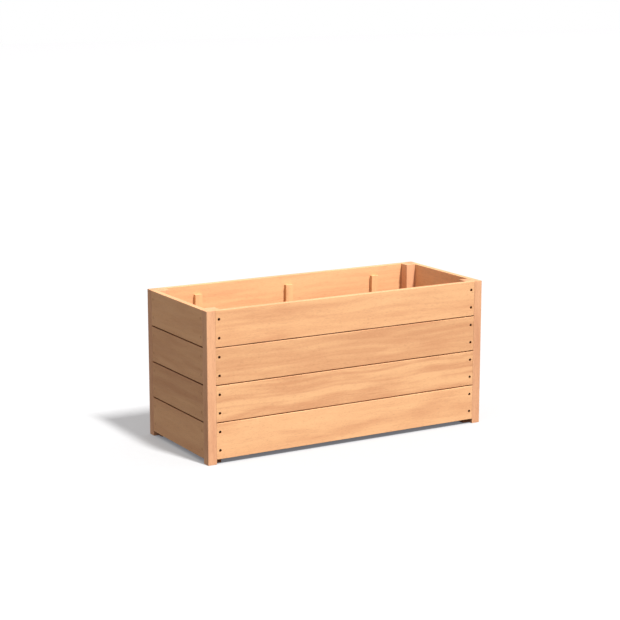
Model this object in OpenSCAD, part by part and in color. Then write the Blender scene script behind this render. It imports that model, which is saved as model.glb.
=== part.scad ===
// Rectangular hardwood planter box on four corner posts.
// Horizontal boards are let into rebates in the posts and screwed at both ends. The posts
// run on below the boards as short feet. The origin is the middle of the footprint on the
// ground, with +X along the length, +Y from front to back and +Z up. Sizes are millimetres.

/* [Overall] */
// Length over the posts
box_l = 1200; // [900:10:1800]
// Width over the posts
box_w = 500; // [400:10:800]
// Clear height from the ground to the lowest board
leg_gap = 18; // [10:1:60]

/* [Wall boards] */
// Height of one board
board_h = 135; // [110:1:180]
// Thickness of one board
board_t = 21; // [17:1:27]
// Shadow gap between one board and the next
board_gap = 4; // [2:0.5:8]
// Gap from a board's end to the post beside it
board_end_gap = 0.5; // [0.5:0.5:2]
// Radius of the eased long edges
edge_r = 2; // [1:0.5:4]

/* [Corner posts] */
// Side of the square post
post_w = 63; // [56:1:80]
// Width of the post's face that stays in view beside the boards
strip_w = 35; // [32:1:39]

/* [Battens] */
// Width of a batten across the boards
batten_w = 30; // [25:1:50]
// Thickness of a batten
batten_t = 16; // [13:1:20]
// Drop from the rim to a batten's top
batten_drop = 35; // [20:1:60]
// Gap under a batten, where the floor passes
batten_foot_gap = 2; // [1:0.5:6]

/* [Floor] */
// Width of a floor bearer across the planter
bearer_w = 35; // [28:1:45]
// Height of a floor bearer
bearer_h = 35; // [28:1:45]
// Height of a bearer's underside above the lower edge of the boards
bearer_up = 4; // [0:1:30]
// Gap from a bearer's end to the post beside it
bearer_end_gap = 1; // [0.5:0.5:5]
// Thickness of a floor slat
slat_t = 21; // [17:1:27]
// Drainage gap between one slat and the next
drain_gap = 10; // [6:1:14]
// Gap from the floor to the walls and posts around it
floor_clear = 3; // [1:0.5:5]

/* [Wall screws] */
// Length of a wall screw
wall_screw_l = 40; // [35:1:41]
// Diameter of a wall screw's shank
wall_screw_d = 5; // [4:0.5:5.5]
// Diameter of a wall screw's head
wall_screw_head_d = 10; // [8:0.5:11]
// Distance from a board's end to its screws
screw_end = 14; // [12:0.5:17]
// Distance from a board's long edge to the nearest screw
screw_edge = 33; // [20:1:45]
// Depth of the heads below the wood
screw_sink = 6; // [0:0.5:7]

/* [Inside screws] */
// Length of a batten screw
batten_screw_l = 28; // [24:1:29]
// Diameter of a batten screw's shank
batten_screw_d = 3.5; // [3:0.5:4.5]
// Diameter of a batten screw's head
batten_screw_head_d = 7; // [6:0.5:9]
// Distance from a gap between boards to the batten screws beside it
joint_screw_off = 25; // [18:1:40]
// Length of a bearer screw
bearer_screw_l = 50; // [42:1:52]
// Height of the bearer screws above the bearer's underside
bearer_screw_up = 12; // [9:1:14]
// Number of screws in one bearer
bearer_screws = 5; // [3:1:7]
// Distance from a bearer's end to its first screw
bearer_screw_end = 40; // [20:1:80]
// Length of a floor screw
floor_screw_l = 35; // [30:1:42]
// Distance of the floor screws from the middle of their slat
floor_screw_off = 20; // [12:1:30]

/* [Hidden] */
rows = 4;
slats = 8;
ends = ["left", "middle", "right"];
long_walls = ["front", "back"];
short_walls = ["left", "right"];
edge_fn = 32;
round_fn = 48;
drive_sides = 6;
drive_share = 0.45;
drive_depth = 1.8;
tip_l = 6;
past = 1;

box_h = leg_gap + rows * board_h + (rows - 1) * board_gap;
inner_l = box_l - 2 * board_t;
inner_w = box_w - 2 * board_t;
post_inner_x = box_l / 2 - post_w;
post_inner_y = box_w / 2 - post_w;
long_board_l = box_l - 2 * (strip_w + board_end_gap);
short_board_l = box_w - 2 * (strip_w + board_end_gap);

bearer_z = leg_gap + bearer_up;
bearer_l = 2 * (post_inner_x - bearer_end_gap);
bearer_y = inner_w / 2 - bearer_w / 2;
slat_z = bearer_z + bearer_h;
floor_z = slat_z + slat_t;
slat_l = inner_w - 2 * floor_clear;
slat_w = (inner_l - 2 * floor_clear - (slats - 1) * drain_gap) / slats;
notch_x = post_inner_x - floor_clear;
notch_y = post_inner_y - floor_clear;

batten_z = floor_z + batten_foot_gap;
batten_top = box_h - batten_drop;
batten_pitch = box_l / 3;

// Heights of the board's lower edge, and of the middle of the gap above it.
function board_z(row) = leg_gap + (row - 1) * (board_h + board_gap);
function joint_z(row) = board_z(row) + board_h + board_gap / 2;
function batten_x(place) = (place - 1) * batten_pitch;
function slat_x(i) = -inner_l / 2 + floor_clear + slat_w / 2 + (i - 1) * (slat_w + drain_gap);
function bearer_screw_x(i) = -bearer_l / 2 + bearer_screw_end
    + i * (bearer_l - 2 * bearer_screw_end) / (bearer_screws - 1);

// Heights of the screws in one end of a board, and of those along a batten.
function board_screw_zs(row) = [board_z(row) + screw_edge, board_z(row) + board_h - screw_edge];
batten_screw_zs = [
    for (row = [1 : rows - 1], side = [-1, 1]) joint_z(row) + side * joint_screw_off
];

// ---- shapes used by several pieces ----

// A rectangle from the origin, with its four corners eased.
module eased(w, h) {
    translate([edge_r, 0]) square([w - 2 * edge_r, h]);
    translate([0, edge_r]) square([w, h - 2 * edge_r]);
    for (x = [edge_r, w - edge_r], y = [edge_r, h - edge_r])
        translate([x, y]) circle(edge_r, $fn = edge_fn);
}

// A countersunk screw that points down -Z, its head's rim at z = 0.
module screw(len, d, head_d) {
    cone = (head_d - d) / 2;
    rotate_extrude($fn = round_fn)
        polygon([[0, 0], [head_d / 2, 0], [d / 2, -cone], [d / 2, tip_l - len], [0, -len]]);
}

// The screw as it is fitted, sunk below the wood at z = 0, with its drive socket.
module fitted_screw(len, d, head_d, sink = 0) {
    difference() {
        translate([0, 0, -sink]) screw(len, d, head_d);
        translate([0, 0, -sink - drive_depth])
            cylinder(d = head_d * drive_share, h = drive_depth + past, $fn = drive_sides);
    }
}

// The hole that the fitted screw fills, open above the head.
module screw_hole(len, d, head_d, sink = 0) {
    translate([0, 0, -sink]) screw(len, d, head_d);
    translate([0, 0, -sink]) cylinder(d = head_d, h = sink + past, $fn = round_fn);
}

module steel() { color([0.2, 0.17, 0.14]) children(); }
module board_wood() { color([0.93, 0.7, 0.5]) children(); }
module post_wood() { color([0.9, 0.66, 0.5]) children(); }
module inner_wood() { color([0.85, 0.62, 0.44]) children(); }

// ---- places: each puts its children at every screw of one kind, pointing inwards ----

// The screws of one board end in the front wall, then in a short wall.
module long_wall_screws(row) {
    for (x = [-1, 1] * (long_board_l / 2 - screw_end), z = board_screw_zs(row))
        translate([x, -box_w / 2, z]) rotate([90, 0, 0]) children();
}
module short_wall_screws(row) {
    for (y = [-1, 1] * (short_board_l / 2 - screw_end), z = board_screw_zs(row))
        translate([-box_l / 2, y, z]) rotate([0, -90, 0]) children();
}
// The screws that run out through the front battens, and through the front bearer.
module batten_screws(place) {
    for (z = batten_screw_zs)
        translate([batten_x(place), -inner_w / 2 + batten_t, z]) rotate([-90, 0, 0]) children();
}
module bearer_screws() {
    for (i = [0 : bearer_screws - 1])
        translate([bearer_screw_x(i), -inner_w / 2 + bearer_w, bearer_z + bearer_screw_up])
            rotate([-90, 0, 0]) children();
}
// The screws of one floor slat, down into both bearers, in the part of it between the posts.
module slat_screws(i) {
    low = max(slat_x(i) - slat_w / 2, -notch_x);
    high = min(slat_x(i) + slat_w / 2, notch_x);
    for (side = [-1, 1], y = [-1, 1] * bearer_y)
        translate([(low + high) / 2 + side * floor_screw_off, y, floor_z]) children();
}

module wall_screw() { fitted_screw(wall_screw_l, wall_screw_d, wall_screw_head_d, screw_sink); }
module wall_hole() { screw_hole(wall_screw_l, wall_screw_d, wall_screw_head_d, screw_sink); }
module batten_screw() { fitted_screw(batten_screw_l, batten_screw_d, batten_screw_head_d); }
module batten_hole() { screw_hole(batten_screw_l, batten_screw_d, batten_screw_head_d); }
module bearer_screw() { fitted_screw(bearer_screw_l, wall_screw_d, wall_screw_head_d); }
module bearer_hole() { screw_hole(bearer_screw_l, wall_screw_d, wall_screw_head_d); }
module floor_screw() { fitted_screw(floor_screw_l, wall_screw_d, wall_screw_head_d); }
module floor_hole() { screw_hole(floor_screw_l, wall_screw_d, wall_screw_head_d); }

// A wall's own side: the front and left walls as drawn, the back and right ones mirrored.
module on_wall(wall) { mirror([wall == "right" ? 1 : 0, wall == "back" ? 1 : 0, 0]) children(); }

// ---- corner posts ----

// The square post with one rebate for the long wall's boards and one for the short wall's.
module post_section() {
    difference() {
        eased(post_w, post_w);
        translate([strip_w, -past]) square([post_w - strip_w + past, board_t + past]);
        translate([-past, strip_w]) square([board_t + past, post_w - strip_w + past]);
    }
}
module front_left_corner() {
    difference() {
        translate([-box_l / 2, -box_w / 2]) linear_extrude(box_h) post_section();
        for (row = [1 : rows]) {
            long_wall_screws(row) wall_hole();
            short_wall_screws(row) wall_hole();
        }
    }
}
module post(wall, end) { post_wood() on_wall(wall) on_wall(end) front_left_corner(); }

// ---- wall boards ----

module long_board(row) {
    difference() {
        translate([-long_board_l / 2, -box_w / 2, board_z(row)])
            rotate([90, 0, 90]) linear_extrude(long_board_l) eased(board_t, board_h);
        long_wall_screws(row) wall_hole();
        for (place = [0 : len(ends) - 1]) batten_screws(place) batten_hole();
        bearer_screws() bearer_hole();
    }
}
module short_board(row) {
    difference() {
        translate([-box_l / 2, short_board_l / 2, board_z(row)])
            rotate([90, 0, 0]) linear_extrude(short_board_l) eased(board_t, board_h);
        short_wall_screws(row) wall_hole();
    }
}
module long_wall_board(wall, row) { board_wood() on_wall(wall) long_board(row); }
module short_wall_board(wall, row) { board_wood() on_wall(wall) short_board(row); }

// ---- battens ----

module batten(wall, place) {
    inner_wood() on_wall(wall) difference() {
        translate([batten_x(place) - batten_w / 2, -inner_w / 2, batten_z])
            cube([batten_w, batten_t, batten_top - batten_z]);
        batten_screws(place) batten_hole();
    }
}

// ---- floor ----

module floor_bearer(wall) {
    inner_wood() on_wall(wall) difference() {
        translate([-bearer_l / 2, -inner_w / 2, bearer_z]) cube([bearer_l, bearer_w, bearer_h]);
        bearer_screws() bearer_hole();
        for (i = [1 : slats]) slat_screws(i) floor_hole();
    }
}
module post_notches() {
    for (mx = [0, 1], my = [0, 1]) mirror([mx, 0, 0]) mirror([0, my, 0])
        translate([notch_x, notch_y, slat_z - past]) cube([post_w, post_w, slat_t + 2 * past]);
}
module floor_slat(i) {
    inner_wood() difference() {
        translate([slat_x(i) - slat_w / 2, -slat_l / 2, slat_z]) cube([slat_w, slat_l, slat_t]);
        post_notches();
        slat_screws(i) floor_hole();
    }
}

// ---- screws ----

module long_wall_screw_set(wall) {
    steel() on_wall(wall) for (row = [1 : rows]) long_wall_screws(row) wall_screw();
}
module short_wall_screw_set(wall) {
    steel() on_wall(wall) for (row = [1 : rows]) short_wall_screws(row) wall_screw();
}
module batten_screw_set(wall) {
    steel() on_wall(wall) for (place = [0 : len(ends) - 1]) batten_screws(place) batten_screw();
}
module bearer_screw_set(wall) { steel() on_wall(wall) bearer_screws() bearer_screw(); }
module floor_screw_set() { steel() for (i = [1 : slats]) slat_screws(i) floor_screw(); }

// ---- the planter ----

for (wall = long_walls, end = short_walls)
    post(wall, end);
for (wall = long_walls, row = [1 : rows])
    long_wall_board(wall, row);
for (wall = short_walls, row = [1 : rows])
    short_wall_board(wall, row);
for (wall = long_walls, place = [0 : len(ends) - 1])
    batten(wall, place);
for (wall = long_walls)
    floor_bearer(wall);
for (i = [1 : slats])
    floor_slat(i);
for (wall = long_walls)
    long_wall_screw_set(wall);
for (wall = short_walls)
    short_wall_screw_set(wall);
for (wall = long_walls)
    batten_screw_set(wall);
for (wall = long_walls)
    bearer_screw_set(wall);
floor_screw_set();  // floor_screws
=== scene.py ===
import math
import bpy
import numpy as np
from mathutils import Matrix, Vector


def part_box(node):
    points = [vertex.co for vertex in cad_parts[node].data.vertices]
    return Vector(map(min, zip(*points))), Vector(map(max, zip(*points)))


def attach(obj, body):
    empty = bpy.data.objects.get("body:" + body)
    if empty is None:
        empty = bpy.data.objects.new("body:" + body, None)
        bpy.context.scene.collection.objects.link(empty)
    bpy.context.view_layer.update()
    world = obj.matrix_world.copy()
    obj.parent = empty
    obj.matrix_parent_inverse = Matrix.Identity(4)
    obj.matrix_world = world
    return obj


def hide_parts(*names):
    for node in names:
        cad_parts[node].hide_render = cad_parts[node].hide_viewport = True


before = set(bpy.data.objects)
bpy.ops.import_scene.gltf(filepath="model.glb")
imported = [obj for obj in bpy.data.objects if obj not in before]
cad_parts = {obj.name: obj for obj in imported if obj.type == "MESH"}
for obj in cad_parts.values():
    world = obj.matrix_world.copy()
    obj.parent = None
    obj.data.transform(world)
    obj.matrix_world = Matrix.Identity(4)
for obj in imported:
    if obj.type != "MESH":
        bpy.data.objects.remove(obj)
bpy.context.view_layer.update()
print("frame loaded:", len(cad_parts), "nodes")

mm = 0.001
up = np.array([0.0, 0.0, 1.0])
tiny = 1e-6              # metres, below which two places are the same
nearby = 1e-5            # metres, below which a point is on a face
decimals = 7             # kept in the places of grid lines, in metres

cameraView = {
    "place": (-3.268, -5.586, 1.799),   # metres from the middle of the footprint
    "tilt": 11.6,                       # degrees down
    "turn": 30.1,                       # degrees to the right of +Y
    "lens": 99.35,                      # mm
    "sensor": 36.0,                     # mm wide
    "farthest": 200.0,                  # metres
}


def makeCamera():
    data = bpy.data.cameras.new("camera")
    data.lens = cameraView["lens"]
    data.sensor_width = cameraView["sensor"]
    data.clip_end = cameraView["farthest"]
    camera = bpy.data.objects.new("camera", data)
    camera.location = cameraView["place"]
    camera.rotation_euler = (math.radians(90 - cameraView["tilt"]), 0.0, math.radians(-cameraView["turn"]))
    bpy.context.scene.collection.objects.link(camera)
    bpy.context.scene.camera = camera


studioLight = {
    "towards": (0.118, -0.50, 0.86),    # from the planter to the softbox
    "distance": 500.0,                  # far enough for the light to be even
    "brightness": 2.23,                 # what a white card facing the softbox would return
    "softness": (5.0, 11.0),            # degrees that the softbox spans, across and up
    "fill": (0.78, 0.78, 0.80),         # colour of the even light all round
    "backdrop": (1.0, 1.0, 1.0),
}


def makeLights():
    distance = studioLight["distance"]
    towards = np.array(studioLight["towards"]) / np.linalg.norm(studioLight["towards"])
    key = bpy.data.lights.new("softbox", "AREA")
    key.shape = "RECTANGLE"
    key.size, key.size_y = (2 * distance * math.tan(math.radians(v / 2)) for v in studioLight["softness"])
    key.energy = studioLight["brightness"] * (math.pi * distance) ** 2
    lamp = bpy.data.objects.new("softbox", key)
    lamp.location = towards * distance
    lamp.rotation_euler = (math.acos(towards[2]), 0.0, math.atan2(towards[0], -towards[1]))
    bpy.context.scene.collection.objects.link(lamp)

    world = bpy.data.worlds.new("studio")
    world.use_nodes = True
    tree = world.node_tree
    tree.nodes.clear()
    fill = addNode(tree, "ShaderNodeBackground", Color=(*studioLight["fill"], 1.0))
    backdrop = addNode(tree, "ShaderNodeBackground", Color=(*studioLight["backdrop"], 1.0))
    out = addNode(tree, "ShaderNodeOutputWorld")
    tree.links.new(byPath(tree, fill, backdrop), out.inputs["Surface"])
    bpy.context.scene.world = world
    bpy.context.scene.view_settings.view_transform = "Standard"


floorLook = {
    "size": 60.0,
    "paint": (0.286, 0.286, 0.286),     # the part of the floor's paleness that takes shadows
    "open": (0.275, 0.27, 0.27),        # the even glow added where the floor is open
    "shaded": (0.125, 0.13, 0.145),    # and close under the planter, dimmed there as painted shade
    "reach": 0.13,                      # metres over which that glow dims into painted shade
    "clearing": (0.05, 0.72),           # how open the floor is where the glow starts and where it is full
    "bounce": (0.17, 0.17, 0.17),       # painted bounce light: a glow that the open floor sends back up
    # the same glow close under the planter, dimmed there as painted shade
    "shadedBounce": (0.01, 0.01, 0.01),
    "blotches": 40.0,                   # faint blotches to a metre
    "blotchRange": (0.99, 1.01),        # how dark and how pale they are
}


def makeFloor():
    half = floorLook["size"] / 2
    mesh = bpy.data.meshes.new("floor")
    corners = [(-half, -half, 0), (half, -half, 0), (half, half, 0), (-half, half, 0)]
    mesh.from_pydata(corners, [], [(0, 1, 2, 3)])
    floor = bpy.data.objects.new("floor", mesh)
    bpy.context.scene.collection.objects.link(floor)
    material, tree = newMaterial("paleFloor")
    # ambient occlusion dims the floor's glow beside and under the planter: painted shade
    near = addNode(tree, "ShaderNodeAmbientOcclusion", Distance=floorLook["reach"])
    clear = ramp(tree, near.outputs["AO"], *floorLook["clearing"])
    place = addNode(tree, "ShaderNodeTexCoord")
    blotches = noise(tree, stretched(tree, place.outputs["Object"], (floorLook["blotches"],) * 3), 3.0)
    shade = ramp(tree, blotches, 0.3, 0.7, *floorLook["blotchRange"])
    paint = addNode(tree, "ShaderNodeBsdfDiffuse")
    tree.links.new(scaled(tree, floorLook["paint"], shade), paint.inputs["Color"])
    glow = addNode(tree, "ShaderNodeEmission")
    tree.links.new(mixColour(tree, clear, floorLook["shaded"], floorLook["open"]), glow.inputs["Color"])
    shown = addNode(tree, "ShaderNodeAddShader")
    tree.links.new(paint.outputs[0], shown.inputs[0])
    tree.links.new(glow.outputs[0], shown.inputs[1])
    # for all other rays the floor glows: painted bounce light, dimmed under the planter as painted shade
    bounce = addNode(tree, "ShaderNodeEmission")
    returned = mixColour(tree, clear, floorLook["shadedBounce"], floorLook["bounce"])
    tree.links.new(returned, bounce.inputs["Color"])
    finishMaterial(tree, byPath(tree, bounce, shown))
    mesh.materials.append(material)


def newMaterial(name):
    material = bpy.data.materials.new(name)
    material.use_nodes = True
    material.node_tree.nodes.clear()
    return material, material.node_tree


def finishMaterial(tree, surface):
    out = addNode(tree, "ShaderNodeOutputMaterial")
    tree.links.new(surface, out.inputs["Surface"])


def byPath(tree, lighting, seen):                    # one shader lights things, and the other is seen
    path = addNode(tree, "ShaderNodeLightPath")
    mix = addNode(tree, "ShaderNodeMixShader")
    tree.links.new(path.outputs["Is Camera Ray"], mix.inputs[0])
    tree.links.new(lighting.outputs[0], mix.inputs[1])
    tree.links.new(seen.outputs[0], mix.inputs[2])
    return mix.outputs[0]


def pointData(tree, name):                           # what a piece's points say under that name
    node = tree.nodes.new("ShaderNodeAttribute")
    node.attribute_name = name
    return node


def addNode(tree, kind, operation=None, **values):   # a node with some of its sockets filled in
    node = tree.nodes.new(kind)
    if operation:
        node.operation = operation
    for name, value in values.items():
        node.inputs[name.replace("_", " ")].default_value = value
    return node


def maths(tree, operation, first, second=0.5):       # first and second are sockets or numbers
    node = tree.nodes.new("ShaderNodeMath")
    node.operation = operation
    for socket, value in zip(node.inputs, (first, second)):
        if isinstance(value, (int, float)):
            socket.default_value = value
        else:
            tree.links.new(value, socket)
    return node.outputs[0]


def stretched(tree, vector, scale):                  # the vector with its parts multiplied by scale
    node = tree.nodes.new("ShaderNodeVectorMath")
    node.operation = "MULTIPLY"
    node.inputs[1].default_value = scale
    tree.links.new(vector, node.inputs[0])
    return node.outputs[0]


def scaled(tree, colour, amount):                    # colour times a grey amount, which may pass 1
    node = tree.nodes.new("ShaderNodeVectorMath")
    node.operation = "SCALE"
    if isinstance(colour, tuple):
        node.inputs[0].default_value = colour
    else:
        tree.links.new(colour, node.inputs[0])
    if isinstance(amount, float):
        node.inputs["Scale"].default_value = amount
    else:
        tree.links.new(amount, node.inputs["Scale"])
    return node.outputs[0]


def noise(tree, vector, detail=2.0, roughness=0.5, distortion=0.0):
    node = tree.nodes.new("ShaderNodeTexNoise")
    node.inputs["Scale"].default_value = 1.0
    node.inputs["Detail"].default_value = detail
    node.inputs["Roughness"].default_value = roughness
    node.inputs["Distortion"].default_value = distortion
    tree.links.new(vector, node.inputs["Vector"])
    return node.outputs["Fac"]


def ramp(tree, value, low, high, start=0.0, end=1.0):    # low..high in value becomes start..end
    node = tree.nodes.new("ShaderNodeMapRange")
    node.interpolation_type = "SMOOTHSTEP"
    for name, number in (("From Min", low), ("From Max", high), ("To Min", start), ("To Max", end)):
        node.inputs[name].default_value = number
    tree.links.new(value, node.inputs["Value"])
    return node.outputs["Result"]


def mixColour(tree, amount, first, second, blend="MIX"):
    node = tree.nodes.new("ShaderNodeMix")
    node.data_type = "RGBA"
    node.blend_type = blend
    sockets = [s for s in node.inputs if s.enabled]
    for socket, value in zip(sockets, (amount, first, second)):
        if isinstance(value, (int, float)):
            socket.default_value = value
        elif isinstance(value, tuple):
            socket.default_value = (*value, 1.0)
        else:
            tree.links.new(value, socket)
    return [s for s in node.outputs if s.enabled][0]


woodLook = {
    "honey": (0.667, 0.366, 0.178),     # the pale, yellow wood between the darker bands
    "rose": (0.533, 0.257, 0.122),      # the pinker wood of the bands
    "toast": (0.380, 0.160, 0.065),     # thin dark streaks
    "pore": (0.200, 0.080, 0.035),      # open pores
    "endGrain": (0.86, 0.81, 0.74),     # sawn ends, beside the faces
    "paintedShade": (0.42, 0.28, 0.17),        # painted shade in gaps, on the rim, in screw holes and on post feet, beside plain wood
    "figureRange": (0.33, 0.57),        # the figure at which wood is all honey, and all rose
    "toneShift": 0.12,                  # how far a piece's own tone moves its figure
    "toneBrightness": (0.95, 1.05),     # of pieces with tone 0 and 1
    "wander": 0.05,                     # metres that the grain strays from side to side
    "rings": 55.0,                      # growth rings to a metre
    "ringTaper": 0.02,                  # how fast the rings change along the wood
    "relief": 0.0004,                   # metres
    "reliefStrength": 0.35,
    "shine": 0.3,
    "roughness": 0.56,
}
# Each layer is a noise: features to a metre across the grain, their share of that along it, then detail,
# roughness and distortion.
woodLayers = {
    "bands": (16.0, 0.11, 2.0, 0.55, 0.4),
    "patches": (24.0, 0.16, 3.0, 0.6, 0.5),
    "streaks": (62.0, 0.07, 4.0, 0.62, 0.0),
    "flecks": (210.0, 0.16, 2.0, 0.5, 0.3),
    "fibres": (900.0, 0.03, 2.0, 0.5, 0.0),
    "pores": (1700.0, 0.035, 0.0, 0.5, 0.0),
}
straightLayers = ("patches", "flecks")      # these don't follow the wandering grain
figureShares = (("bands", 0.38), ("rings", 0.20), ("patches", 0.26), ("streaks", 0.16))
# Stains laid on in turn: the layer, where in it the stain starts and is full, its strength, its colour.
woodStains = (
    ("streaks", 0.58, 0.78, 0.16, "toast"),
    ("flecks", 0.60, 0.74, 0.14, "toast"),
    ("flecks", 0.38, 0.27, 0.35, "honey"),
    ("fibres", 0.50, 0.75, 0.07, "toast"),
    ("pores", 0.67, 0.74, 0.36, "pore"),
)


def woodMaterial(name, turn, tint):
    # turn brings the grain onto x; woodOffset moves every piece to its own place in the tree
    material, tree = newMaterial(name)
    place = addNode(tree, "ShaderNodeTexCoord")
    mapping = addNode(tree, "ShaderNodeMapping", Rotation=tuple(math.radians(v) for v in turn))
    tree.links.new(place.outputs["Object"], mapping.inputs["Vector"])
    own = pointData(tree, "woodOffset")
    tone = pointData(tree, "woodTone")
    shift = addNode(tree, "ShaderNodeVectorMath", "ADD")
    tree.links.new(mapping.outputs[0], shift.inputs[0])
    tree.links.new(own.outputs["Vector"], shift.inputs[1])
    straight = shift.outputs[0]

    def along(vector, across, share):                # stretched so that features run with the grain
        return stretched(tree, vector, (across * share, across, across))

    # the grain wanders slowly from side to side along the wood
    wander = addNode(tree, "ShaderNodeTexNoise", Scale=1.0, Detail=1.0)
    tree.links.new(along(straight, 4.0, 0.6), wander.inputs["Vector"])
    centred = addNode(tree, "ShaderNodeVectorMath", "SUBTRACT")
    centred.inputs[1].default_value = (0.5, 0.5, 0.5)
    tree.links.new(wander.outputs["Color"], centred.inputs[0])
    strays = (0.0, woodLook["wander"], woodLook["wander"])
    bent = addNode(tree, "ShaderNodeVectorMath", "ADD")
    tree.links.new(straight, bent.inputs[0])
    tree.links.new(stretched(tree, centred.outputs[0], strays), bent.inputs[1])
    grain = bent.outputs[0]

    # growth rings: uneven tones by the distance from the heart of the tree
    across = addNode(tree, "ShaderNodeVectorMath", "LENGTH")
    tree.links.new(stretched(tree, grain, (woodLook["ringTaper"], 1.0, 1.0)), across.inputs[0])
    ringTone = tree.nodes.new("ShaderNodeTexNoise")
    ringTone.noise_dimensions = "1D"
    ringTone.inputs["Scale"].default_value = woodLook["rings"]
    ringTone.inputs["Detail"].default_value = 3.0
    ringTone.inputs["Roughness"].default_value = 0.6
    tree.links.new(across.outputs["Value"], ringTone.inputs["W"])
    layers = {"rings": ringTone.outputs["Fac"]}
    for layer, (width, share, *kind) in woodLayers.items():
        source = straight if layer in straightLayers else grain
        layers[layer] = noise(tree, along(source, width, share), *kind)

    # the figure is the sum of the layers' shares
    figure = None
    for layer, share in figureShares:
        part = maths(tree, "MULTIPLY", layers[layer], share)
        figure = part if figure is None else maths(tree, "ADD", figure, part)
    # some pieces are boldly figured and some are plain
    strength = pointData(tree, "woodFigure")
    figure = maths(tree, "MULTIPLY", maths(tree, "SUBTRACT", figure, 0.5), strength.outputs["Fac"])
    figure = maths(tree, "ADD", figure, 0.5)
    lighter = maths(tree, "MULTIPLY", tone.outputs["Fac"], woodLook["toneShift"])
    rosy = ramp(tree, maths(tree, "SUBTRACT", figure, lighter), *woodLook["figureRange"])
    colour = mixColour(tree, rosy, woodLook["honey"], woodLook["rose"])
    for layer, start, full, amount, stain in woodStains:
        spread = ramp(tree, layers[layer], start, full, 0.0, amount)
        colour = mixColour(tree, spread, colour, woodLook[stain])
    colour = scaled(tree, colour, ramp(tree, tone.outputs["Fac"], 0.0, 1.0, *woodLook["toneBrightness"]))

    # sawn ends are a little darker; the point data holds painted shade on edges that face up, on edges that
    # face down, and wherever else there is some
    facing = addNode(tree, "ShaderNodeNewGeometry")
    turned = addNode(tree, "ShaderNodeMapping", Rotation=tuple(math.radians(v) for v in turn))
    tree.links.new(facing.outputs["Normal"], turned.inputs["Vector"])
    split = addNode(tree, "ShaderNodeSeparateXYZ")
    tree.links.new(turned.outputs[0], split.inputs[0])
    ends = ramp(tree, maths(tree, "ABSOLUTE", split.outputs["X"]), 0.75, 0.95)
    colour = mixColour(tree, ends, colour, mixColour(tree, 1.0, colour, woodLook["endGrain"], "MULTIPLY"))
    level = addNode(tree, "ShaderNodeSeparateXYZ")
    tree.links.new(facing.outputs["Normal"], level.inputs[0])
    shadeAmount = pointData(tree, "paintedShadeAmounts")
    sides = addNode(tree, "ShaderNodeSeparateXYZ")
    tree.links.new(shadeAmount.outputs["Vector"], sides.inputs[0])
    # painted shade: the wood is darkened towards the shade colour by these amounts
    above = maths(tree, "MULTIPLY", ramp(tree, level.outputs["Z"], 0.1, 0.9), sides.outputs["X"])
    below = maths(tree, "MULTIPLY", ramp(tree, level.outputs["Z"], -0.1, -0.9), sides.outputs["Y"])
    paintedShade = maths(tree, "ADD", maths(tree, "ADD", above, below), sides.outputs["Z"])
    paintedShade = maths(tree, "MINIMUM", paintedShade, 1.0)
    colour = mixColour(tree, paintedShade, colour, mixColour(tree, 1.0, colour, woodLook["paintedShade"], "MULTIPLY"))
    colour = mixColour(tree, 1.0, colour, tint, "MULTIPLY")

    height = maths(tree, "MULTIPLY", layers["fibres"], 0.5)
    height = maths(tree, "ADD", height, maths(tree, "MULTIPLY", layers["streaks"], 0.5))
    height = maths(tree, "SUBTRACT", height, ramp(tree, layers["pores"], 0.66, 0.74))
    bump = addNode(tree, "ShaderNodeBump", Strength=woodLook["reliefStrength"], Distance=woodLook["relief"])
    tree.links.new(height, bump.inputs["Height"])

    wood = addNode(tree, "ShaderNodeBsdfPrincipled", Specular_IOR_Level=woodLook["shine"])
    tree.links.new(colour, wood.inputs["Base Color"])
    rough = woodLook["roughness"]
    streaky = ramp(tree, layers["streaks"], 0.3, 0.7, rough - 0.07, rough + 0.08)
    tree.links.new(streaky, wood.inputs["Roughness"])
    tree.links.new(bump.outputs["Normal"], wood.inputs["Normal"])
    finishMaterial(tree, wood.outputs[0])
    return material


alongX, alongY, alongZ = (0, 0, 0), (0, 0, -90), (0, 90, 0)     # degrees that bring the grain onto x
woods = {
    "boardX": woodMaterial("boardWoodAlongX", alongX, (1.0, 1.0, 1.0)),
    "boardY": woodMaterial("boardWoodAlongY", alongY, (1.0, 1.0, 1.0)),
    "post": woodMaterial("postWood", alongZ, (0.95, 0.92, 1.01)),
    "batten": woodMaterial("battenWood", alongZ, (1.01, 1.05, 1.02)),
    "bearer": woodMaterial("bearerWood", alongX, (0.95, 0.95, 0.95)),
    "slat": woodMaterial("slatWood", alongY, (0.95, 0.95, 0.95)),
}
print("wood materials made:", len(woods))


screwLook = {
    "coat": (0.055, 0.028, 0.011),      # dark brown corrosion coating
    "worn": (0.120, 0.065, 0.030),      # where the driver has rubbed it
    "rubbed": (0.52, 0.72),             # how much of the coating is rubbed off
    "speckles": 900.0,                  # to a metre
    "relief": 0.0002,                   # metres
    "roughness": 0.6,
}


def screwMaterial():
    material, tree = newMaterial("coatedScrew")
    place = addNode(tree, "ShaderNodeTexCoord")
    speckle = noise(tree, stretched(tree, place.outputs["Object"], (screwLook["speckles"],) * 3), 3.0)
    rub = ramp(tree, speckle, *screwLook["rubbed"])
    colour = mixColour(tree, rub, screwLook["coat"], screwLook["worn"])
    bump = addNode(tree, "ShaderNodeBump", Strength=0.3, Distance=screwLook["relief"])
    tree.links.new(speckle, bump.inputs["Height"])
    steel = addNode(tree, "ShaderNodeBsdfPrincipled", Metallic=0.1, Specular_IOR_Level=0.3)
    tree.links.new(colour, steel.inputs["Base Color"])
    rough = screwLook["roughness"]
    tree.links.new(ramp(tree, speckle, 0.3, 0.7, rough - 0.1, rough + 0.15), steel.inputs["Roughness"])
    tree.links.new(bump.outputs["Normal"], steel.inputs["Normal"])
    finishMaterial(tree, steel.outputs[0])
    return material


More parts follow.
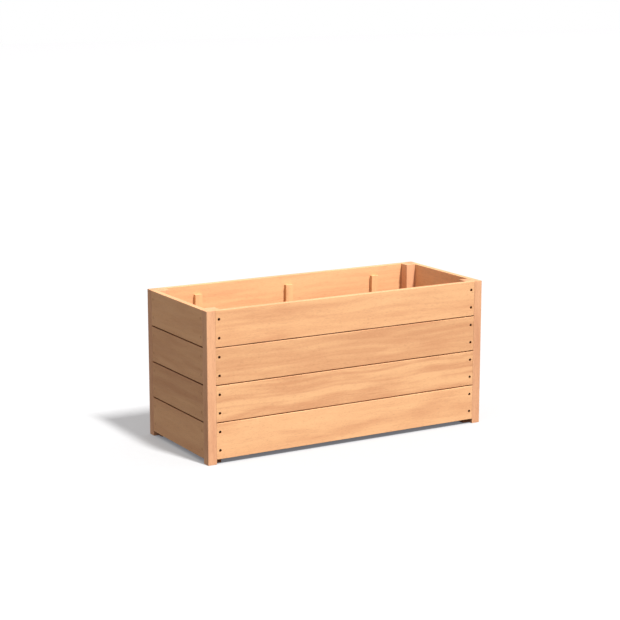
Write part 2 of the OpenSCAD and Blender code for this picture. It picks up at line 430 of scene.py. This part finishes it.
# Even lines from low to high, with a run of close lines across the square round each hole.
def gridLines(low, high, step, centres=(), half=0.0, cells=6):
    lines = np.linspace(low, high, max(2, int(round((high - low) / step)) + 1))
    for centre in centres:
        close = np.linspace(centre - half, centre + half, cells + 1)
        lines = np.concatenate([lines[np.abs(lines - centre) > half + 0.25 * step], close])
    return np.unique(np.round(lines, decimals))


# The closed surface of the filled cells of a grid (a, b), drawn out along c. Each hole in the face at
# the last c is a fan of rings: ring r is the circle of radius rings[r][0] sunk by rings[r][1], at the
# angles of the points on the square round the hole. A cap closes the last ring.
def gridSolid(a, b, c, filled, holes=(), rings=(), half=0.0):
    ids = np.arange(len(a) * len(b) * len(c)).reshape(len(a), len(b), len(c))
    points = np.stack(np.meshgrid(a, b, c, indexing="ij"), axis=-1).reshape(-1, 3)

    def quads(*corners):
        return np.stack(corners, axis=-1).reshape(-1, 4)

    topped = filled.copy()
    squares = []
    for ca, cb in holes:
        i0, i1 = np.searchsorted(a, [ca - half - tiny, ca + half - tiny])
        j0, j1 = np.searchsorted(b, [cb - half - tiny, cb + half - tiny])
        topped[i0:i1, j0:j1] = False
        squares.append((i0, i1, j0, j1))
    i, j = np.nonzero(topped)
    faces = [quads(ids[i, j, -1], ids[i + 1, j, -1], ids[i + 1, j + 1, -1], ids[i, j + 1, -1])]
    i, j = np.nonzero(filled)
    faces.append(quads(ids[i, j, 0], ids[i, j + 1, 0], ids[i + 1, j + 1, 0], ids[i + 1, j, 0]))
    padded = np.pad(filled, 1).astype(int)
    stepA = padded[1:, 1:-1] - padded[:-1, 1:-1]
    stepB = padded[1:-1, 1:] - padded[1:-1, :-1]
    k = np.arange(len(c) - 1)[None, :]
    for sign in (1, -1):
        i, j = (v[:, None] for v in np.nonzero(stepA == sign))
        wall = quads(ids[i, j, k], ids[i, j, k + 1], ids[i, j + 1, k + 1], ids[i, j + 1, k])
        faces.append(wall if sign > 0 else wall[:, ::-1])
        i, j = (v[:, None] for v in np.nonzero(stepB == sign))
        wall = quads(ids[i, j, k], ids[i + 1, j, k], ids[i + 1, j, k + 1], ids[i, j, k + 1])
        faces.append(wall if sign > 0 else wall[:, ::-1])
    faces = np.concatenate(faces)
    plain = len(faces)

    fans, caps = [], []
    for (ca, cb), (i0, i1, j0, j1) in zip(holes, squares):
        top = ids[:, :, -1]
        square = np.concatenate([top[i0:i1, j0], top[i1, j0:j1], top[i1:i0:-1, j1], top[i0, j1:j0:-1]])
        angle = np.arctan2(points[square, 1] - cb, points[square, 0] - ca)
        radius, depth = np.array(rings).T[:, :, None]
        circle = np.stack([ca + radius * np.cos(angle), cb + radius * np.sin(angle),
                           c[-1] - depth + 0 * angle], axis=-1)
        added = len(points) + np.arange(circle.shape[0] * circle.shape[1]).reshape(circle.shape[:2])
        points = np.concatenate([points, circle.reshape(-1, 3)])
        loops = np.concatenate([square[None], added])
        after = np.roll(loops, -1, axis=1)
        fans.append(quads(loops[:-1], after[:-1], after[1:], loops[1:]))
        caps.append(loops[-1])
    faces = np.concatenate([faces, *fans])
    used, places = np.unique(np.concatenate([faces.ravel(), *caps]), return_inverse=True)
    sizes = np.cumsum([faces.size, *[len(cap) for cap in caps]])[:-1]
    faces, *caps = np.split(places, sizes)
    return points[used], faces.reshape(-1, 4), caps, plain


# Where two faces of a grid solid meet at a right angle: the pairs of points, the middle of each edge,
# its direction, and whether the corner stands out or goes in.
def rightAngles(points, faces):
    edges = np.sort(np.concatenate([faces[:, [n, (n + 1) % 4]] for n in range(4)]), axis=1)
    corners = points[faces]
    normal = np.cross(corners[:, 1] - corners[:, 0], corners[:, 3] - corners[:, 0])
    normal /= np.maximum(np.linalg.norm(normal, axis=1, keepdims=True), 1e-12)
    middle = corners.mean(axis=1)
    owner = np.tile(np.arange(len(faces)), 4)
    key = edges[:, 0] * len(points) + edges[:, 1]
    order = np.argsort(key, kind="stable")
    pair = np.nonzero(key[order][1:] == key[order][:-1])[0]
    one, two = owner[order[pair]], owner[order[pair + 1]]
    square = (normal[one] * normal[two]).sum(1) < 0.5
    out = (normal[one] * (middle[two] - middle[one])).sum(1) < 0
    ends = edges[order[pair]][square]
    span = points[ends[:, 1]] - points[ends[:, 0]]
    way = np.abs(span) / np.linalg.norm(span, axis=1, keepdims=True)
    return ends, points[ends].mean(axis=1), way, out[square]


# A smooth random height in -1..1 over the points: the mean of a few long waves.
def longWaves(points, seed, length, waves=5):
    rng = np.random.default_rng(seed)
    ways = rng.normal(size=(waves, 3)) * (2 * math.pi / length)
    return np.sin(points @ ways.T + rng.uniform(0, 2 * math.pi, waves)).mean(axis=1)


pieceFinish = {
    "easeSteps": 4,                         # faces across an eased edge
    "easeEven": 0.85,                       # share of the ease that every edge has
    "easeUneven": 0.3,                      # how much hand sanding adds or takes away
    "easeWave": 0.09,                       # metres over which that changes
    "fromTree": (4.0, 0.25, 0.25),          # metres of tree that a piece may come from
    "fromHeart": (0.0, 0.0, 0.12),
}


def makePiece(name, solid, axes, origin, ease, easing, material, seed, tone, paintedShade=(0, 0, 0), bold=1.0):
    # solid in its own (a, b, c) is placed by axes and origin; easing gives each edge its share of ease;
    # tone runs from rose at 0 to honey at 1, and bold is the strength of the figure
    points, faces, caps, plain = solid
    ends, middle, way, out = rightAngles(points, faces[:plain])
    mesh = bpy.data.meshes.new(name)
    mesh.from_pydata((origin + points @ axes).tolist(), [], faces.tolist() + [cap.tolist() for cap in caps])
    mesh.polygons.foreach_set("use_smooth", np.ones(len(mesh.polygons), bool))
    own = np.zeros(len(mesh.edges) * 2, np.int32)
    mesh.edges.foreach_get("vertices", own)
    own = np.sort(own.reshape(-1, 2), axis=1)
    ownKey = own[:, 0].astype(np.int64) * len(points) + own[:, 1]
    order = np.argsort(ownKey)
    found = order[np.searchsorted(ownKey[order], ends[:, 0].astype(np.int64) * len(points) + ends[:, 1])]
    weight = np.zeros(len(own), np.float32)
    sanding = pieceFinish["easeUneven"] * longWaves(middle, seed, pieceFinish["easeWave"])
    weight[found] = np.where(out, easing(middle, way) * (pieceFinish["easeEven"] + sanding), 0.0)
    mesh.attributes.new("bevel_weight_edge", "FLOAT", "EDGE").data.foreach_set("value", np.clip(weight, 0, 1))
    sharp = np.zeros(len(own), bool)
    sharp[found] = ~out
    mesh.attributes.new("sharp_edge", "BOOLEAN", "EDGE").data.foreach_set("value", sharp)
    rng = np.random.default_rng(seed)
    offset = rng.uniform(-1, 1, 3) * pieceFinish["fromTree"] + pieceFinish["fromHeart"]
    count = len(mesh.vertices)
    mesh.attributes.new("woodOffset", "FLOAT_VECTOR", "POINT").data.foreach_set(
        "vector", np.tile(offset, count))
    mesh.attributes.new("woodTone", "FLOAT", "POINT").data.foreach_set("value", np.full(count, tone))
    mesh.attributes.new("woodFigure", "FLOAT", "POINT").data.foreach_set("value", np.full(count, bold))
    # painted shade amounts: on edges that face up, on edges that face down, and anywhere else
    mesh.attributes.new("paintedShadeAmounts", "FLOAT_VECTOR", "POINT").data.foreach_set(
        "vector", np.broadcast_to(np.stack(np.broadcast_arrays(*paintedShade), axis=-1), (count, 3)).ravel())
    mesh.materials.append(material)
    piece = bpy.data.objects.new(name, mesh)
    bpy.context.scene.collection.objects.link(piece)
    bevel = piece.modifiers.new("easedEdges", "BEVEL")
    bevel.limit_method = "WEIGHT"
    bevel.width = ease
    bevel.segments = pieceFinish["easeSteps"]
    bevel.use_clamp_overlap = False
    normals = piece.modifiers.new("flatFaces", "WEIGHTED_NORMAL")
    normals.keep_sharp = True
    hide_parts(name[:-5])                    # every piece is called after its node, with _wood
    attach(piece, "root")


def screwRings(head, shank, sink):
    # a countersunk hole: flat ground, a soft lip, the wall down to the head, and the cone below it
    lip = [(head + 1.1 * mm, 0.0), (head + 0.3 * mm, 0.0)]
    if sink:
        lip += [(head + 0.08 * mm, 0.08 * mm), (head, 0.3 * mm), (head, sink)]
    else:
        lip += [(head, 0.02 * mm)]
    return lip + [(shank, sink + head - shank)]


def fillerRings(head):
    # a screw hole filled flush with wood filler, which has sunk a little
    return [(head + 1.1 * mm, 0.0), (head + 0.3 * mm, 0.0), (head, 0.12 * mm), (0.8 * head, 0.4 * mm),
            (0.3 * head, 0.55 * mm)]


boardShape = {
    "step": (8 * mm, 12 * mm, 11 * mm),     # grid along, up and through the board
    "ease": 1.8 * mm,                       # radius of the long edges
    "endEase": 0.1,                         # the ends' share of that radius
    "cup": 0.35 * mm,                       # how far the middle of the face is hollowed
    "screwFromEnd": 14 * mm,
    "screwFromEdge": 33 * mm,
    "screwSquare": 7.5 * mm,                # half of the square round a screw
    "hole": 5.3 * mm,                       # radius of the hole above a screw head
    "shank": 2.5 * mm,
    "sink": 6.0 * mm,                       # depth of the heads in the long walls
    "filledOver": ("left", "right"),        # walls whose screw holes are filled over
    "cupWave": 0.5,                         # metres over which the hollow deepens and fades
    # painted shade on the edges beside the gaps, on the two short walls only
    "paintedShade": {"front": 0.0, "back": 0.0, "left": 1.0, "right": 1.0},
    # painted shade that dims the top edge of the top board
    "rimPaintedShade": 0.28,
    # painted shade in the open screw holes; on the filled-over walls it darkens the filler a little
    "holePaintedShade": {"front": 1.0, "back": 1.0, "left": 0.3, "right": 0.3},
}
boardTones = {                              # lowest board first: 0 is rose, 1 is honey
    "front": (0.66, 0.42, 0.26, 0.60),
    "back": (0.40, 0.70, 0.30, 0.85),
    "left": (0.60, 0.22, 0.46, 0.72),
    "right": (0.30, 0.75, 0.75, 0.85),
}
boardFigure = {                             # lowest board first: under 1 is plain, over 1 is bold
    "front": (0.85, 1.30, 0.80, 0.80),
    "back": (0.9, 1.1, 0.7, 0.7),
    "left": (0.5, 0.8, 0.6, 0.5),
    "right": (1.0, 0.8, 0.6, 0.6),
}
outward = {"front": (0, -1, 0), "back": (0, 1, 0), "left": (-1, 0, 0), "right": (1, 0, 0)}


def facingAxes(normal):                     # rows: along, up, outwards, so that along x up = outwards
    normal = np.array(normal, float)
    return np.stack([np.cross(up, normal), up, normal])


def ownBox(low, high, axes):                # the lowest corner and the size of a box, along its own axes
    corners = np.stack([low, high]) @ axes.T
    return corners.min(axis=0), np.ptp(corners, axis=0)


def boardEasing(middle, way):
    return np.where(way[:, 0] > 0.5, 1.0, boardShape["endEase"])


def wallBoard(wall, row):
    node = f"{wall}_board_{row}"
    low, high = (np.array(v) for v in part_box(node))
    axes = facingAxes(outward[wall])
    start, size = ownBox(low, high, axes)
    stepA, stepB, stepC = boardShape["step"]
    holesA = (boardShape["screwFromEnd"], size[0] - boardShape["screwFromEnd"])
    holesB = (boardShape["screwFromEdge"], size[1] - boardShape["screwFromEdge"])
    square = boardShape["screwSquare"]
    a = gridLines(0, size[0], stepA, holesA, square)
    b = gridLines(0, size[1], stepB, holesB, square)
    c = gridLines(0, size[2], stepC)
    filled = np.ones((len(a) - 1, len(b) - 1), bool)
    holes = [(ha, hb) for ha in holesA for hb in holesB]
    if wall in boardShape["filledOver"]:
        rings = fillerRings(boardShape["hole"])
    else:
        rings = screwRings(boardShape["hole"], boardShape["shank"], boardShape["sink"])
    points, faces, caps, plain = gridSolid(a, b, c, filled, holes, rings, square)
    # the outer face is hollowed by cup * (1 - across^2), and by a slow wave along the board
    seed = 10 * list(outward).index(wall) + row
    across = 2 * points[:, 1] / size[1] - 1
    wave = 0.7 + 0.3 * longWaves(points, seed, boardShape["cupWave"])
    hollow = boardShape["cup"] * (1 - across ** 2) * wave
    points[:, 2] -= np.where(points[:, 2] > size[2] / 2, hollow, 0)
    material = woods["boardX"] if wall in ("front", "back") else woods["boardY"]
    # painted shade lies on the edges beside a gap, a little of it on the rim, and in the screw holes
    shadeAmount = boardShape["paintedShade"][wall]
    fromHole = np.hypot(np.abs(points[:, 0] - size[0] / 2) - size[0] / 2 + boardShape["screwFromEnd"],
                        np.abs(points[:, 1] - size[1] / 2) - size[1] / 2 + boardShape["screwFromEdge"])
    inHole = (points[:, 2] > 1 * mm) & (fromHole < boardShape["hole"] + 0.01 * mm)
    paintedShade = (shadeAmount if row < 4 else boardShape["rimPaintedShade"], shadeAmount if row > 1 else 0.0,
             np.where(inHole, boardShape["holePaintedShade"][wall], 0.0))
    makePiece(node + "_wood", (points, faces, caps, plain), axes, start @ axes, boardShape["ease"],
              boardEasing, material, seed, boardTones[wall][row - 1], paintedShade,
              boardFigure[wall][row - 1])


postShape = {
    "step": 12 * mm,
    "face": 35 * mm,                        # width left in view beside the boards
    "ease": 2.5 * mm,                       # radius of the outer corner
    "otherEase": 0.15,                      # the other edges' share of that radius
    "footShade": 1.0,                            # how much painted shade darkens the foot's inner faces
    "footShadeUpTo": 20 * mm,
    "firstSeed": 60,
}
postTones = {"front_left": 0.66, "front_right": 0.45, "back_left": 0.5, "back_right": 0.6}


# A square column of cells, without those in its two rebates: nearer to one outer face than the boards
# are thick, and farther from the other than the width left in view.
def cornerPost(corner):
    node = corner + "_post"
    low, high = (np.array(v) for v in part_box(node))
    rebate = np.ptp(np.array(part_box("front_board_1")), axis=0)[1]
    width = high[0] - low[0]
    # lines by their distance from the outer corner, turned to face the corner's own way
    face = postShape["face"]
    marks = np.concatenate([np.linspace(0, rebate, 3), np.linspace(face, width, 3)])
    marks = np.unique(np.round(marks, decimals))
    fromX = "left" in corner
    fromY = "front" in corner
    a = marks if fromX else (width - marks)[::-1]
    b = marks if fromY else (width - marks)[::-1]
    midA = (a[1:] + a[:-1]) / 2
    midB = (b[1:] + b[:-1]) / 2
    reachA = (midA if fromX else width - midA)[:, None]
    reachB = (midB if fromY else width - midB)[None, :]
    filled = ~((reachA > face) & (reachB < rebate) | (reachB > face) & (reachA < rebate))
    c = gridLines(0, high[2] - low[2], postShape["step"])
    outerA, outerB = (0.0 if fromX else width), (0.0 if fromY else width)

    def easing(middle, way):
        outer = (np.abs(middle[:, 0] - outerA) < nearby) & (np.abs(middle[:, 1] - outerB) < nearby)
        return np.where(outer & (way[:, 2] > 0.5), 1.0, postShape["otherEase"])

    # painted shade darkens the foot below the boards, except on its two outer faces
    solid = gridSolid(a, b, c, filled)
    points = solid[0]
    inside = np.minimum(np.abs(points[:, 0] - outerA), np.abs(points[:, 1] - outerB)) > rebate - nearby
    footShade = np.where(inside & (points[:, 2] < postShape["footShadeUpTo"]), postShape["footShade"], 0.0)
    seed = postShape["firstSeed"] + list(postTones).index(corner)
    makePiece(node + "_wood", solid, np.eye(3), low, postShape["ease"], easing,
              woods["post"], seed, postTones[corner], (0.0, 0.0, footShade))


innerShape = {                              # what battens, bearers and slats share
    "step": (9 * mm, 9 * mm, 9 * mm),
    "ease": 1.4 * mm,
    "easeShare": 0.8,
    "square": 7.0 * mm,                     # half of the square round a screw
    "nearestLine": 1.2 * mm,                # grid lines nearer than this to a cut give way to it
}


def evenEasing(middle, way):
    return np.full(len(middle), innerShape["easeShare"])


def screwedPiece(node, axes, holes, rings, material, seed, tone, notch=None):
    low, high = (np.array(v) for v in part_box(node))
    start, size = ownBox(low, high, axes)
    holes = np.array(holes) - start[:2]
    square = innerShape["square"]
    stepA, stepB, stepC = innerShape["step"]
    a = gridLines(0, size[0], stepA, np.unique(np.round(holes[:, 0], 6)), square)
    b = gridLines(0, size[1], stepB, np.unique(np.round(holes[:, 1], 6)), square)
    c = gridLines(0, size[2], stepC)
    filled = np.ones((len(a) - 1, len(b) - 1), bool)
    if notch is not None:
        a, b, filled = notch(a, b, start)
    makePiece(node + "_wood", gridSolid(a, b, c, filled, holes, rings, square), axes, start @ axes,
              innerShape["ease"], evenEasing, material, seed, tone)


battenShape = {
    "places": ("left", "middle", "right"),
    "rings": screwRings(3.5 * mm, 1.75 * mm, 0.0),
    "jointToScrew": 25 * mm,                # from a gap between boards to the screws
    "tone": 0.8,
    "firstSeed": 80,
}


# A plain bar, with a screw above and below the middle of each gap between boards.
def batten(wall, place, seed):
    node = f"{wall}_batten_{place}"
    axes = facingAxes(-np.array(outward[wall]))
    low, high = (np.array(v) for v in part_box(node))
    across = ((low + high) / 2) @ axes[0]
    joints = [(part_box(f"{wall}_board_{r}")[1][2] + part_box(f"{wall}_board_{r + 1}")[0][2]) / 2
              for r in (1, 2, 3)]
    holes = [(across, z + side * battenShape["jointToScrew"]) for z in joints for side in (-1, 1)]
    screwedPiece(node, axes, holes, battenShape["rings"], woods["batten"], seed, battenShape["tone"])


bearerShape = {
    "rings": screwRings(5.0 * mm, 2.5 * mm, 0.0),
    "screws": 5,
    "screwFromEnd": 40 * mm,
    "screwUp": 12 * mm,
    "tone": 0.5,
    "firstSeed": 90,
}


# A plain bar, with screws evenly spaced along it at one height.
def bearer(wall, seed):
    node = f"floor_bearer_{wall}"
    axes = facingAxes(-np.array(outward[wall]))
    low, high = (np.array(v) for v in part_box(node))
    reach = high[0] - bearerShape["screwFromEnd"]
    height = low[2] + bearerShape["screwUp"]
    holes = [(x, height) for x in np.linspace(-reach, reach, bearerShape["screws"])]
    screwedPiece(node, axes, holes, bearerShape["rings"], woods["bearer"], seed, bearerShape["tone"])


slatShape = {
    "count": 8,
    "rings": screwRings(5.0 * mm, 2.5 * mm, 0.0),
    "screwFromMiddle": 20 * mm,
    "postClear": 3 * mm,                    # gap between the floor and the posts
    "tones": (0.3, 0.08),                   # the lowest, and the step to the next
    "toneOrder": 5,                         # mixes the tones over the floor
    "firstSeed": 100,
}


# A flat bar without the cells where a post stands, with two screws over each bearer.
def floorSlat(number, seed):
    node = f"floor_slat_{number}"
    low, high = (np.array(v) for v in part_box(node))
    corner = np.array(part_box("front_left_post")[1])[:2] + slatShape["postClear"]
    middle = (max(low[0], corner[0]) + min(high[0], -corner[0])) / 2      # of the part between the posts
    bearerY = np.mean(np.array(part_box("floor_bearer_front"))[:, 1])
    holes = [(middle + side * slatShape["screwFromMiddle"], end * bearerY)
             for side in (-1, 1) for end in (-1, 1)]

    def notch(a, b, start):                 # leaves out the cells where a post stands
        for edge in (corner[0], -corner[0]):
            a = cutAt(a, edge - start[0])
        for edge in (corner[1], -corner[1]):
            b = cutAt(b, edge - start[1])
        midA = np.abs((a[1:] + a[:-1]) / 2 + start[0])[:, None]
        midB = np.abs((b[1:] + b[:-1]) / 2 + start[1])[None, :]
        return a, b, ~((midA > abs(corner[0])) & (midB > abs(corner[1])))

    lowest, step = slatShape["tones"]
    tone = lowest + step * (number * slatShape["toneOrder"] % slatShape["count"])
    screwedPiece(node, np.eye(3), holes, slatShape["rings"], woods["slat"], seed, tone, notch)


def cutAt(lines, edge):                     # adds a line at edge if it is inside, in place of any beside it
    if not lines[0] + tiny < edge < lines[-1] - tiny:
        return lines
    keep = (np.abs(lines - edge) > innerShape["nearestLine"]) | (lines == lines[0]) | (lines == lines[-1])
    return np.unique(np.round(np.append(lines[keep], edge), decimals))


makeCamera()
makeLights()
makeFloor()
print("camera, lights and floor made")

for wall in outward:
    for row in (1, 2, 3, 4):
        wallBoard(wall, row)
print("wall boards made")
for corner in postTones:
    cornerPost(corner)
print("posts made")
for number, wall in enumerate(("front", "back")):
    for spot, place in enumerate(battenShape["places"]):
        batten(wall, place, battenShape["firstSeed"] + len(battenShape["places"]) * number + spot)
    bearer(wall, bearerShape["firstSeed"] + number)
for number in range(1, slatShape["count"] + 1):
    floorSlat(number, slatShape["firstSeed"] + number)
print("battens and floor made")

coated = screwMaterial()
for name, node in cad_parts.items():
    if "screws" in name:
        node.data.materials.clear()
        node.data.materials.append(coated)
print("screws coated")
